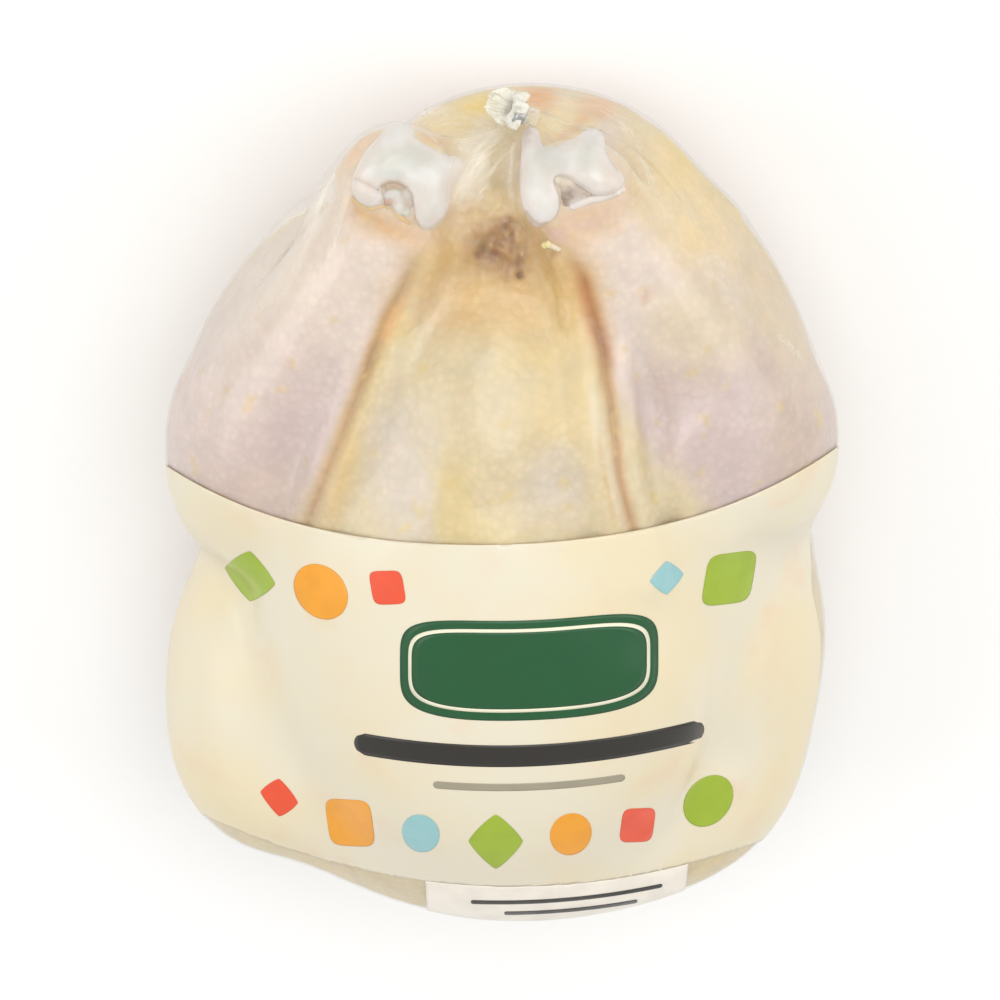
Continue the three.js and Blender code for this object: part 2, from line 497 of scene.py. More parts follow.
hocks = {  # the outline of the white cartilage in the front view's picture
    "left": [(-25.0, 91.5), (-22.1, 91.5), (-20.9, 89.3), (-20.2, 86.9), (-18.2, 85.7), (-16.3, 84.8),
             (-14.2, 83.6), (-12.0, 82.8), (-9.6, 82.4), (-7.9, 81.2), (-8.6, 79.0), (-10.3, 77.8),
             (-11.5, 75.6), (-12.0, 72.8), (-12.5, 70.4), (-13.4, 68.4), (-14.9, 66.8), (-16.8, 65.6),
             (-19.0, 65.8), (-20.2, 67.7), (-20.7, 70.6), (-20.9, 73.7), (-22.3, 75.2), (-24.3, 76.4),
             (-26.4, 76.6), (-28.1, 75.9), (-29.1, 74.4), (-27.9, 73.0), (-29.1, 71.3), (-30.7, 70.6),
             (-33.1, 71.1), (-35.1, 72.8), (-35.8, 75.4), (-35.5, 77.8), (-34.3, 80.4), (-32.9, 83.1),
             (-31.0, 85.5), (-29.1, 87.4), (-27.4, 89.8)],
    "right": [(7.2, 89.8), (9.1, 89.1), (9.8, 86.9), (10.3, 84.8), (12.5, 85.0), (14.6, 85.7),
              (16.8, 86.4), (18.7, 87.4), (20.2, 88.6), (21.4, 90.3), (22.6, 91.2), (23.8, 91.7),
              (24.5, 90.3), (25.0, 88.1), (25.2, 85.7), (25.7, 83.6), (26.7, 81.6), (28.1, 80.0),
              (29.3, 78.5), (30.0, 76.6), (29.1, 75.2), (27.1, 74.4), (25.2, 74.0), (23.1, 74.0),
              (21.4, 74.9), (19.9, 76.1), (18.5, 76.8), (17.3, 78.0), (14.9, 78.5), (13.0, 78.0),
              (12.7, 76.6), (13.4, 74.9), (14.2, 72.8), (14.4, 70.6), (13.4, 68.2), (11.8, 66.8),
              (9.8, 66.0), (8.2, 66.5), (6.7, 68.2), (5.8, 70.1), (5.0, 72.5), (4.8, 75.4), (4.8, 78.8),
              (5.0, 82.1), (5.3, 85.0), (5.3, 87.4), (6.0, 89.1)],
}
hockFit = {"cell": 0.55, "thickness": 9, "smoothing": 6, "lastSmoothing": 2, "rise": 0.7,
           "roundness": 3.6, "dome": 1.2, "deepest": 58, "lumpSize": 5, "lumps": 0.4, "rimShare": 0.3}
hockHollows = [  # depth, middle and size in the picture, turn
    (0.5, (-23, 80), (4.5, 3), 25), (0.6, (-31.5, 76), (3.6, 0.7), -28), (0.4, (-17, 76), (1.4, 4), 10),
    (0.5, (12.5, 81), (3.5, 2.6), 0), (0.4, (19.5, 82), (2, 4), -20), (0.3, (7, 86.5), (2, 0.8), 0),
]
hockTints = [  # tone, strength, middle and size in the picture, turn; the grey spots are painted shade in the hollow middles of the knobs
    ("boneShadeGrey", 0.9, (-24, 80.5), (6.5, 4), 20), ("boneShadeGrey", 0.6, (-18.5, 83), (4, 1.6), -30),
    ("bonePink", 0.7, (-33, 76), (2.4, 4), 20), ("bonePink", 0.5, (-10, 79), (2, 2.5), 0),
    ("boneShadeGrey", 0.6, (12.5, 82), (4, 4), 0), ("boneShadeGrey", 0.5, (21, 83), (2, 5), -20),
    ("bonePink", 0.9, (7.4, 87.5), (2.2, 2.8), 0), ("bonePink", 0.6, (27, 77), (3, 3), 0),
]
hockLines = [  # tone, strength, half width, line in the picture; painted shade lines along the hock edges and the rim of the left notch
    ("arcBrownShade", 0.5, 0.35, [(-35.0, 77.2), (-32.4, 76.3), (-29.5, 74.6)]),
    ("arcBrownShade", 0.9, 0.6, [(-28.4, 75.4), (-26.6, 76.3), (-24.6, 76.2), (-22.6, 74.9)]),
    ("greyBrownShade", 0.6, 0.5, [(25.0, 89.8), (25.5, 86.4), (25.9, 83.6), (26.9, 81.4), (28.3, 79.5)]),
    ("arcBrownShade", 0.6, 0.4, [(6.3, 69.2), (8.0, 67.0), (9.8, 66.2), (11.2, 66.6)]),
    ("greyBrownShade", 0.5, 0.4, [(-20.4, 87.4), (-18.2, 85.9), (-14.2, 83.8), (-12.0, 83.0)]),
]
tornTissue = {  # tone, radius, and where it shows in the picture; the brown and grey-brown lumps in the notches carry painted shadow as well as the tissue's colour
    "left": [("arcBrownShade", 1.0, (-27.1, 75.6)), ("arcBrownShade", 1.0, (-25.9, 75.9)),
             ("arcBrownShade", 1.0, (-24.7, 75.9)), ("arcBrownShade", 0.9, (-23.5, 75.4)),
             ("arcBrownShade", 0.6, (-29.5, 74.4)), ("bone", 1.2, (-27.4, 73.7)),
             ("bone", 1.2, (-26.2, 73.7)), ("bone", 1.1, (-25.0, 74.0)), ("wetRed", 1.2, (-27.4, 71.6)),
             ("wetRed", 1.0, (-26.2, 71.4)), ("bone", 1.5, (-24.3, 72.3)), ("bone", 1.5, (-24.5, 70.6)),
             ("gristleAndShade", 1.5, (-22.1, 73.5)), ("greyBrownShade", 1.5, (-21.7, 71.6)),
             ("gristleAndShade", 1.3, (-24.3, 69.4)), ("gristleAndShade", 1.3, (-22.5, 69.4))],
    "right": [("beige", 1.6, (13.9, 77.3)), ("beige", 1.6, (15.6, 76.8)), ("beige", 1.5, (17.3, 76.6)),
              ("beige", 1.4, (15.8, 75.4)), ("wetBrownAndShade", 1.3, (15.1, 74.0)),
              ("wetBrownAndShade", 1.3, (15.6, 72.5)), ("wetBrownAndShade", 1.2, (16.1, 71.1)),
              ("darkBrownShade", 1.0, (17.0, 72.8)), ("greyBrownShade", 1.4, (18.7, 75.2)),
              ("greyBrownShade", 1.4, (19.9, 74.4)), ("greyBrownShade", 1.2, (21.1, 73.7)),
              ("greyBrownShade", 1.2, (18.7, 73.7)), ("bonePink", 1.2, (17.8, 71.1)),
              ("bonePink", 1.2, (19.2, 71.6))],
    "vent": [("fatYellow", 1.0, (10.9, 61.3)), ("fatYellow", 1.1, (12.0, 61.6)),
             ("peachWhite", 1.0, (13.2, 61.0)), ("peachWhite", 0.9, (14.2, 60.5))],
}
skinLips = {  # tone, radius, share of it that is sunk, and the line where the skin was cut
    "leftEdge": ("fatOrange", 0.55, 0.3,
                 [(-35.5, 72.5), (-33.9, 71.1), (-31.9, 70.1), (-30.0, 70.1), (-28.3, 70.6),
                  (-26.7, 70.1), (-25.0, 68.9), (-23.3, 67.5), (-21.6, 66.5)]),
    "rightStrip": ("bonePink", 0.95, 0.3,
                   [(17.5, 70.6), (19.2, 71.3), (21.1, 72.0), (23.3, 72.5), (25.5, 73.0),
                    (27.4, 73.7), (29.1, 74.7)]),
}
lumpMesh = {"cell": 0.42, "smoothing": 3, "sunk": 0.6, "lipSpacing": 0.8, "lipSwell": 0.3,
            "swellLength": 2.5}


def makeLumps(name, lumps):  # joins lumps (place, radius) into one soft form
    balls = []
    for place, radius in lumps:
        bpy.ops.mesh.primitive_ico_sphere_add(
            subdivisions=3, radius=radius * mm, location=Vector(place) * mm)
        balls.append(bpy.context.object)
    piece = join(name, balls)
    remesh(piece, lumpMesh["cell"])
    smooth(piece, lumpMesh["smoothing"])
    return piece


def paintByLump(piece, lumps, lumpTones):
    points = places(piece)
    closest, falloff = 1e-3, 4
    weights = np.stack([
        1 / (closest + np.linalg.norm(points - np.array(place), axis=1) / radius) ** falloff
        for place, radius in lumps])
    colours = np.stack([tones[tone] for tone in lumpTones])
    paint(piece, "skinTone", (weights.T @ colours) / weights.sum(axis=0)[:, None])


def insideOutline(picture, outline):  # how far inside the outline, or below zero outside it
    corners = outline + outline[:1]
    near, along = strokeDistance(picture, corners)
    inside = np.zeros(len(picture), bool)
    for (startAcross, startUp), (endAcross, endUp) in zip(corners[:-1], corners[1:]):
        if startUp != endUp:
            crosses = (picture[:, 1] < startUp) != (picture[:, 1] < endUp)
            share = (picture[:, 1] - startUp) / (endUp - startUp)
            inside ^= crosses & (picture[:, 0] < startAcross + (endAcross - startAcross) * share)
    return np.where(inside, near, -near)


def keptUnder(place, depth):  # moves a place in along the film's own direction until it is this deep
    nearest, outward, face, distance = filmTree.find_nearest(place)
    height = (place - nearest).dot(outward)
    return place - outward * max(0, height + depth)


def makeHock(side):  # a slab with this outline, laid under the film and rounded
    outline = hocks[side]
    bpy.ops.mesh.primitive_circle_add(vertices=len(outline), fill_type="NGON", radius=mm)
    hock = named(side + "Hock")
    setPlaces(hock, np.array([fromPicture(across, up, 0) for across, up in outline]))
    editAll(hock)
    backward = -hockFit["thickness"] * mm * towardEye
    bpy.ops.mesh.extrude_region_move(TRANSFORM_OT_translate={"value": backward})
    bpy.ops.mesh.select_all(action="SELECT")
    bpy.ops.mesh.normals_make_consistent(inside=False)
    bpy.ops.object.mode_set(mode="OBJECT")
    remesh(hock, hockFit["cell"])
    smooth(hock, hockFit["smoothing"])
    points = places(hock)
    picture, depth = picturePlace(points)
    rim = np.clip(insideOutline(picture, outline) / hockFit["roundness"], 0, 1)
    height = hockFit["rise"] - hockFit["dome"] * (1 - rim) ** 2
    height += hockFit["lumps"] * noiseAt(points, hockFit["lumpSize"], 51) * rim
    for hollow, middle, size, turn in hockHollows:
        height -= hollow * spot(picture, middle, size, turn)
    under = (points - np.array(shot["aim"])) @ np.array(towardEye)
    under = under * (hockFit["rimShare"] + (1 - hockFit["rimShare"]) * rim)  # thinner at the rim
    laid = []
    for place, raised, beneath in zip(picture, height, under):
        seen = seenOn(filmTree, place)
        toward = (seen - shot["aim"]).dot(towardEye) if seen else hockFit["deepest"]
        level = max(toward, hockFit["deepest"]) + raised + beneath
        laid.append(keptUnder(fromPicture(*place, level), -hockFit["rise"]))
    setPlaces(hock, np.array(laid))
    smooth(hock, hockFit["lastSmoothing"])
    colours = np.tile(tones["bone"], (len(points), 1))
    colours = tint(colours, "bonePink", 0.5 * (1 - rim))
    # tints the hocks: pink patches, and grey painted shade in the hollow middles of the knobs
    colours = tintSpots(colours, picture, hockTints)
    # painted shade lines along the hock edges and the rim of the left notch
    for tone, strength, width, line in hockLines:
        near, along = strokeDistance(picture, line)
        colours = tint(colours, tone, strength * np.exp(-(near / width) ** 2))
    paint(hock, "skinTone", colours)
    return hock


hockEnds = [makeHock(side) for side in hocks]
tornPieces = []
legTree = contentsTree([bird] + hockEnds)
for side, bits in tornTissue.items():
    lumps = [(seenOn(legTree, place) - lumpMesh["sunk"] * radius * towardEye, radius)
             for tone, radius, place in bits]
    torn = makeLumps(side + "Tissue", lumps)
    # the lumps take their tones; the brown and grey-brown ones in the notches are partly painted shadow
    paintByLump(torn, lumps, [tone for tone, radius, place in bits])
    tornPieces.append(torn)
for side, (tone, radius, sunk, line) in skinLips.items():
    lumps = []
    for stop in alongLine(line, lumpMesh["lipSpacing"]):
        unevenness = noise.noise(Vector((stop.x, stop.y, 0)) / lumpMesh["swellLength"])
        swell = radius * (1 + lumpMesh["lipSwell"] * unevenness)
        place = seenOn(legTree, stop)
        if place:
            lumps.append((place - sunk * swell * towardEye, swell))
        else:
            print("no skin at", side, tuple(stop))
    lip = makeLumps(side + "Lip", lumps)
    paintByLump(lip, lumps, [tone] * len(lumps))
    tornPieces.append(lip)
print("hocks done")


# the film pushed out over the bird and the hocks, with folds drawn to the clip

filmFolds = {"clear": 0.45, "clings": 2, "spans": 8, "tightening": 60, "kept": 0.4, "depth": 0.6,
             "streakHeight": 0.35, "tentFrom": 60, "tentFull": 72, "refinedAbove": 42,
             "fanSlack": (0.8, 2.5), "fanReach": (14, 52)}
gathering = {"reach": 46, "opensOver": 8, "taper": 1.2, "back": 0.42, "down": 0.9, "length": 90,
             "around": 10, "wide": 1.6, "fine": 0.7, "fineShare": 0.6}
streakShape = {"taper": 1.3, "softness": 1.3, "across": 1.6, "along": 7, "other": 9, "level": 0.65,
               "fibres": 0.5}
filmMilk = {  # where the film is stretched white: how much, middle and size in the picture, turn
    "betweenHocks": (0.42, (-7, 81), (4.8, 11), -24),
    "overLeftHock": (0.16, (-21, 78), (15, 14), 0),
    "overRightHock": (0.16, (17, 80), (15, 13), 0),
    "overTailLeft": (0.12, (-17, 92.6), (12, 2.4), 2),
    "leftShank": (0.3, (-52, 58), (9, 24), -32),
    "rightShank": (0.12, (36, 76), (6, 20), 18),
    "rightKnee": (0.2, (72, 36), (7, 16), 30),
}
filmStreaks = {  # folds drawn tight across the hollows, raised and whitened as painted highlights along them: half width, and the line in the picture
    "ridgeLeft": (1.1, [(-26, 91.8), (-18, 93.2), (-10, 92.8), (0, 92.4)]),
    "ridgeRight": (1.0, [(7, 93.4), (14, 94.2), (24, 94.2), (29, 91), (33, 84), (37.5, 74), (40, 63)]),
    "fanWide": (1.7, [(4, 91), (-3, 84.5), (-8, 77), (-12, 69)]),
    "fanTip": (0.8, [(2, 90.5), (-4, 85.5), (-9, 80.5)]),
    "fanMiddle": (0.9, [(5, 90.5), (0, 82), (-4.5, 75), (-7, 66)]),
    "fanRight": (0.8, [(5.6, 91), (3, 84), (2.4, 76), (3.0, 67)]),
    "tentLeft": (1.4, [(-25, 92), (-31, 84), (-37, 72), (-42, 58), (-47, 43)]),
    "tentLeftOuter": (0.9, [(-31, 90), (-40, 78), (-48, 62), (-54, 46)]),
    "swooshUpper": (1.1, [(46, 57.5), (52, 58.4), (59, 55)]),
    "swooshLower": (1.0, [(64, 44), (70, 38), (76, 31)]),
}


def refineFilm():
    picture = picturePlace(places(film))[0]
    refineAt(film, (picture[:, 1] > filmFolds["refinedAbove"]) & (facingEye(film) > 0.5))


def standing(tree, points, outward):  # how high the contents stand at each place of the film
    above, farthest = 2.5, 40
    heights = np.full(len(points), -np.inf)
    for index, (point, direction) in enumerate(zip(points, outward)):
        direction = Vector(direction)
        start = Vector(point) + above * direction
        hit, normal, face, distance = tree.ray_cast(start, -direction, farthest)
        if hit:
            heights[index] = above - distance
    return heights


def tightened(heights, least):  # evens the film out like stretched skin, but not through the bird
    ends = np.empty(len(film.data.edges) * 2, int)
    film.data.edges.foreach_get("vertices", ends)
    first, second = ends[0::2], ends[1::2]
    count = len(heights)
    neighbours = np.bincount(ends, minlength=count)
    kept = filmFolds["kept"]
    for step in range(filmFolds["tightening"]):
        around = np.bincount(first, heights[second], count) + np.bincount(second, heights[first], count)
        heights = np.maximum(kept * heights + (1 - kept) * around / neighbours, least)
    return heights


def gathersOf(points):  # folds that run out from the clip
    offset = points - np.array(neckAt)
    distance = np.linalg.norm(offset, axis=1)
    along = offset[:, 1] * gathering["back"] - offset[:, 2] * gathering["down"]
    angle = np.arctan2(along, offset[:, 0])
    circle = np.stack([np.cos(angle), np.sin(angle), distance / gathering["length"]], axis=1)
    circle = circle * gathering["around"]
    ridges = noiseAt(circle, gathering["wide"], 5)
    ridges = ridges + gathering["fineShare"] * noiseAt(circle, gathering["fine"], 6)
    fade = np.clip(1 - distance / gathering["reach"], 0, 1) ** gathering["taper"]
    return ridges * fade * smoothStep(0, gathering["opensOver"], distance)


def streaksOf(picture, facing):
    shape = streakShape
    strongest = np.zeros(len(picture))
    for width, line in filmStreaks.values():
        near, along = strokeDistance(picture, line)
        taper = np.sin(np.pi * np.clip(along, 0, 1)) ** shape["taper"]
        grain = np.stack([near * shape["across"], along * shape["along"],
                          np.full(len(near), width * shape["other"])], axis=1)
        soft = taper * np.exp(-(near / (shape["softness"] * width)) ** 2)
        soft = soft * (shape["level"] + shape["fibres"] * noiseAt(grain, 1, 31))
        strongest = np.maximum(strongest, soft * facing)
    return strongest


def drapeFilm(tree):  # clings in narrow folds, spans wide hollows, and stays clear of the contents
    points, outward, facing = places(film), normals(film), facingEye(film)
    picture = picturePlace(points)[0]
    least = standing(tree, points, outward) + filmFolds["clear"]
    sunk = np.clip(-least, 0, 100)
    clinging = 1 - smoothStep(filmFolds["clings"], filmFolds["spans"], sunk)
    clinging *= 1 - smoothStep(filmFolds["tentFrom"], filmFolds["tentFull"], picture[:, 1])
    heights = tightened(np.maximum(-sunk * clinging, least), least)
    gathers, streaks = gathersOf(points), streaksOf(picture, facing)
    heights += filmFolds["depth"] * gathers + filmFolds["streakHeight"] * streaks
    setPlaces(film, points + outward * np.maximum(heights, least)[:, None])
    return gathers, streaks


def milkOf(piece):
    points = places(piece)
    wander = picturePlace(points)[0] + 3 * noisesAt(points, 9, 21, 22)
    facing = facingEye(piece)
    milk = np.zeros(len(points))
    for strength, middle, size, turn in filmMilk.values():
        milk = np.maximum(milk, strength * spot(wander, middle, size, turn) * facing)
    return milk


def slackOf(piece, tree):
    return np.array([tree.find_nearest(vertex.co / mm)[3] for vertex in piece.data.vertices])


refineFilm()
gathers, streaks = drapeFilm(contentsTree([smoothBird] + hockEnds + tornPieces))
bpy.data.objects.remove(smoothBird)
slack = slackOf(film, contentsTree([bird] + hockEnds + tornPieces))
fromNeck = np.linalg.norm(places(film) - np.array(neckAt), axis=1)
inFan = 1 - smoothStep(*filmFolds["fanReach"], fromNeck)
fan = facingEye(film) * smoothStep(*filmFolds["fanSlack"], slack) * inFan
filmShares = {"slack": slack, "gathers": gathers, "streaks": streaks, "milk": milkOf(film), "fan": fan}
for name, values in filmShares.items():
    paint(film, name, values)
print("film:", len(film.data.polygons), "faces, slack up to", round(slack.max(), 1), "mm")


# the bag's gathered neck, crimped by the clip, and the tuft beyond it

neckProfiles = {  # along the neck from the funnel, and radius
    "straight": [(-0.5, 2.3), (1.8, 2.0), (3.2, 1.7), (6.3, 1.7), (7.3, 1.9), (8.4, 2.3), (9.6, 2.6),
                 (10.6, 2.8)],
    "flopped": [(-0.5, 2.3), (1.8, 2.0), (3.2, 1.7), (6.3, 1.7), (7.1, 2.7), (6.8, 3.6), (5.8, 4.2),
                (4.4, 4.4)],  # where the tuft falls over the clip
}
neckPleats = {"count": 7, "smaller": 13, "smallerShare": 0.6, "twist": 5, "smallerTwist": 4,
              "depth": 0.09, "looseFrom": 0.55, "looseTo": 0.85, "crumple": 0.55, "crumpleSize": 2.2,
              "gatheredTo": 0.2, "openFrom": 0.5, "around": 150, "steps": 56, "thickness": 0.1,
              "weld": 0.001, "flopFrom": 60, "flopAcross": 70}


def makeTuft():
    tuft, flat = addGrid("filmTuft", neckPleats["around"], neckPleats["steps"])
    angle = flat[:, 0] * math.pi
    share = (flat[:, 1] + 1) / 2
    aside = neckDirection.cross(Vector((0, 0, 1))).normalized()
    upward = aside.cross(neckDirection)
    eyeAngle = math.atan2(towardEye.dot(upward), towardEye.dot(aside))
    turned = np.degrees(np.abs((angle - eyeAngle + math.pi) % (2 * math.pi) - math.pi))
    flopTo = neckPleats["flopFrom"] + neckPleats["flopAcross"]
    flop = 1 - smoothStep(neckPleats["flopFrom"], flopTo, turned)
    shapes = {}
    for name, profile in neckProfiles.items():
        stops = np.linspace(0, 1, len(profile))
        shapes[name] = [np.interp(share, stops, column) for column in zip(*profile)]
    along, radius = (a + (b - a) * flop for a, b in zip(shapes["straight"], shapes["flopped"]))
    waves = np.cos(neckPleats["count"] * angle + neckPleats["twist"] * share)
    smaller = np.cos(neckPleats["smaller"] * angle - neckPleats["smallerTwist"] * share)
    waves = waves + neckPleats["smallerShare"] * smaller
    loose = smoothStep(neckPleats["looseFrom"], neckPleats["looseTo"], share)
    reach = radius * (1 + neckPleats["depth"] * (0.5 + loose) * waves)
    points = (np.array(neckAt) + along[:, None] * np.array(neckDirection)
              + (reach * np.cos(angle))[:, None] * np.array(aside)
              + (reach * np.sin(angle))[:, None] * np.array(upward))
    crumple = noisesAt(points, neckPleats["crumpleSize"], 41, 42, 43)
    setPlaces(tuft, points + neckPleats["crumple"] * crumple * loose[:, None])
    paint(tuft, "gathered", smoothStep(neckPleats["gatheredTo"], neckPleats["openFrom"], share))
    editAll(tuft)
    bpy.ops.mesh.remove_doubles(threshold=neckPleats["weld"] * mm)
    bpy.ops.mesh.normals_make_consistent(inside=False)
    bpy.ops.object.mode_set(mode="OBJECT")
    modify(tuft, "SOLIDIFY", thickness=neckPleats["thickness"] * mm, offset=0)
    return tuft


tuft = makeTuft()
print("tuft done")


# the printed band over the breast, and the pale panel at the neck end

band = {"offset": 0.08, "thickness": 0.03, "leftEdge": 30,
        "rightEdge": 59, "rightDrop": 16, "dropFrom": -24, "dropTo": 24,
        "cornerAt": (0, -61.4, 30), "cornerSlope": (0, -0.88, -1)}  # the edge rises to the neck end
bandArcs = {  # a + bU + cU^2 + dU^4 in the front view's picture, in millimetres from its middle
    "top": (-10.6, 0.024, 0.00227, 1.53e-7),
    "bottom": (-92.7, -0.02, 0.0031, 0),
}
panel = {"left": -16.5, "right": 47.5, "low": 46, "offset": 0.12}


def arcLevel(u, arc):
    return arc[0] + arc[1] * u + arc[2] * u ** 2 + arc[3] * u ** 4


def arcShift(points, arc):  # how far to move points up the picture to put the arc on a level line
    picture, depth = picturePlace(points)
    return (arcLevel(picture[:, 0], arc) * depth / shot["distance"])[:, None] * np.array(imageUp)


def cutAll(piece, point, direction, **clear):
    editAll(piece)
    bpy.ops.mesh.bisect(plane_co=Vector(point) * mm, plane_no=direction, **clear)
    bpy.ops.object.mode_set(mode="OBJECT")


def cutByArc(piece, arc, **clear):  # levels the arc, cuts straight, and bends everything back
    points = places(piece)
    setPlaces(piece, points - arcShift(points, arc))
    cutAll(piece, eye, imageUp, **clear)
    points = places(piece)
    setPlaces(piece, points + arcShift(points, arc))


def liftedSheet(piece, offset, thickness):  # moves a sheet off the film, and gives it its thickness
    setPlaces(piece, places(piece) + normals(piece) * offset)
    modify(piece, "SOLIDIFY", thickness=thickness * mm, offset=1)


def sideLevel(points):  # the height of the band's side edges; the right one drops by the thigh
    drop = band["rightDrop"] * smoothStep(band["dropFrom"], band["dropTo"], points[:, 1])
    return np.where(points[:, 0] > 0, band["rightEdge"] - drop, band["leftEdge"])


def makeBand():
    sheet = copyOf(film, "printedBand")
    cutByArc(sheet, bandArcs["top"], clear_outer=True)
    cutByArc(sheet, bandArcs["bottom"], clear_inner=True)
    for way in (-1, 1):  # levels the side edges, cuts straight, and bends everything back
        points = places(sheet)
        setPlaces(sheet, points + way * np.array((0, 0, 1)) * sideLevel(points)[:, None])
        if way < 0:
            cutAll(sheet, (0, 0, 0), (0, 0, 1), clear_inner=True)
    cutAll(sheet, band["cornerAt"], band["cornerSlope"], clear_outer=True)
    liftedSheet(sheet, band["offset"], band["thickness"])
    picture, depth = picturePlace(places(sheet))
    paint(sheet, "fromEdge", arcLevel(picture[:, 0], bandArcs["top"]) - picture[:, 1])
    return sheet


def makePanel():
    sheet = copyOf(film, "endPanel")
    cutByArc(sheet, bandArcs["bottom"], clear_outer=True)
    cutAll(sheet, (panel["left"], 0, 0), (1, 0, 0), clear_inner=True)
    cutAll(sheet, (panel["right"], 0, 0), (1, 0, 0), clear_outer=True)
    cutAll(sheet, (0, 0, panel["low"]), (0, 0, 1), clear_inner=True)
    liftedSheet(sheet, panel["offset"], band["thickness"])
    return sheet


printedBand = makeBand()
endPanel = makePanel()
print("band:", len(printedBand.data.polygons), "faces")


# the print: a plain plaque, rules, and rows of simple shapes

inks = {"green": (24, 84, 44), "lime": (156, 180, 48), "orange": (238, 160, 40), "red": (232, 84, 50),
        "blue": (150, 196, 198), "black": (44, 40, 34), "paper": (241, 234, 208),
        "grey": (160, 152, 130)}
rowBend = 0.0027  # the rows of print curve like the edges of the band
plaque = {"middle": (7, -41), "size": (62, 24), "power": 4.5,
          "layers": (("green", 0), ("paper", 2.0), ("green", 2.8))}  # ink, and inset from the edge
rules = [  # ink, middle, size
    ("black", (7, -61.5), (84, 5.2)), ("grey", (7, -69), (46, 1.7)),
    ("black", (16, -96.6), (46, 0.9)), ("black", (17, -99.2), (32, 0.8)),
]
motifs = {  # ink, middle, size, how square the outline is (1 diamond, 2 round, 5 square), turn
    "topRow": [("lime", (-60, -28), (12, 12), 1.2, 0), ("orange", (-43, -27), (13, 13), 2, 0),
               ("red", (-27, -23), (8, 8), 5, 10), ("blue", (40, -23), (8, 8), 1.2, 0),
               ("lime", (55, -27), (12, 12), 5, -10)],
    "bottomRow": [("red", (-53, -79), (9, 9), 1.2, 0), ("orange", (-36, -81), (11, 11), 5, 8),
                  ("blue", (-19, -81), (9, 9), 2, 0), ("lime", (-1, -82), (13, 13), 1.2, 0),
                  ("orange", (17, -81), (10, 10), 2, 0), ("red", (33, -81), (8, 8), 5, -8),
                  ("lime", (50, -79), (12, 12), 2, 0)],
}
printMesh = {"cells": 32, "ruleCells": (90, 6), "lift": 0.06, "layer": 0.05, "thickness": 0.03}


def printed(shape, picture, layer):  # lays a flat shape down on the bag, as seen from the front
    bent = picture + rowBend * np.stack([np.zeros(len(picture)), picture[:, 0] ** 2], axis=1)
    lift = printMesh["lift"] + layer * printMesh["layer"]
    seen = [seenOn(sheetTree, place) for place in bent]
    if None in seen:
        print("print misses the bag at", bent[seen.index(None)])
    setPlaces(shape, np.array([place or fromPicture(*flat, 0) for place, flat in zip(seen, bent)]))
    setPlaces(shape, places(shape) + lift * normals(shape))
    return shape


def addShape(middle, size, power, turn=0, layer=0):  # a grid drawn in to a rounded outline
    shape, points = addGrid("printedShape", printMesh["cells"], printMesh["cells"])
    angle = np.arctan2(points[:, 1], points[:, 0])
    reach = np.max(np.abs(points[:, :2]), axis=1)
    outline = (np.abs(np.cos(angle)) ** power + np.abs(np.sin(angle)) ** power) ** (-1 / power)
    across = reach * outline * np.cos(angle) * size[0] / 2
    along = reach * outline * np.sin(angle) * size[1] / 2
    turned = math.radians(turn)
    spread = np.stack([across * math.cos(turned) - along * math.sin(turned),
                       across * math.sin(turned) + along * math.cos(turned)], axis=1)
    return printed(shape, spread + np.array(middle), layer)


def addRule(middle, size):  # a straight bar with rounded ends
    rule, points = addGrid("rule", *printMesh["ruleCells"])
    up = points[:, 1] * size[1] / 2
    roundEnd = size[1] / 2 * (1 - np.sqrt(np.clip(1 - points[:, 1] ** 2, 0, 1)))
    across = points[:, 0] * (size[0] / 2 - roundEnd)
    return printed(rule, np.stack([across, up], axis=1) + np.array(middle), 0)


def makePrint():
    shapes = {ink: [] for ink in inks}
    for layer, (ink, inset) in enumerate(plaque["layers"]):
        inner = (plaque["size"][0] - 2 * inset, plaque["size"][1] - 2 * inset)
        shapes[ink].append(addShape(plaque["middle"], inner, plaque["power"], layer=layer))
    for ink, place, ruleSize in rules:
        shapes[ink].append(addRule(place, ruleSize))
    for row in motifs.values():
        for ink, place, motifSize, squareness, turn in row:
            shapes[ink].append(addShape(place, motifSize, squareness, turn))
    joined = {}
    for ink, pieces in shapes.items():
        if pieces:
            joined[ink] = join(ink + "Print", pieces)
            modify(joined[ink], "SOLIDIFY", thickness=printMesh["thickness"] * mm, offset=1)
    return joined


sheetTree = contentsTree([printedBand, endPanel])
printShapes = makePrint()
print("print done")

visiblePieces = [film, tuft, bird, printedBand, endPanel] + hockEnds + tornPieces
visiblePieces += printShapes.values()
for piece in visiblePieces:
    smoothShade(piece)


# materials

finishes = {  # the shader's own settings in each material
    "rawSkin": {"Roughness": 0.38, "Subsurface Weight": 0.5, "Subsurface Radius": (1.0, 0.6, 0.4),
                "Subsurface Scale": 0.003},
    "cartilage": {"Roughness": 0.48, "Subsurface Weight": 0.4, "Subsurface Radius": (1.0, 0.9, 0.8),
                  "Subsurface Scale": 0.002},
    "shrinkFilm": {"Base Color": (*linear(250, 241, 224), 1), "Roughness": 0.3},
    "gatheredFilm": {"Base Color": (*linear(240, 237, 224), 1), "Roughness": 0.35},
    "clipAluminium": {"Base Color": (*linear(176, 178, 180), 1), "Metallic": 1},
    "creamPrint": {"Alpha": 0.86, "Roughness": 0.3},
    "palePrint": {"Alpha": 0.9},
    "paleFloor": {"Base Color": (*linear(248, 248, 247), 1), "Roughness": 0.9},
}
filmGloss = 0.16  # roughness of the shine on the film


def setSockets(target, values):
    for name, value in values.items():
        target.inputs[name].default_value = value


def newMaterial(name):
    material = bpy.data.materials.new(name)
    material.use_nodes = True
    shader = material.node_tree.nodes["Principled BSDF"]
    setSockets(shader, finishes.get(name, {}))
    return material, material.node_tree, shader


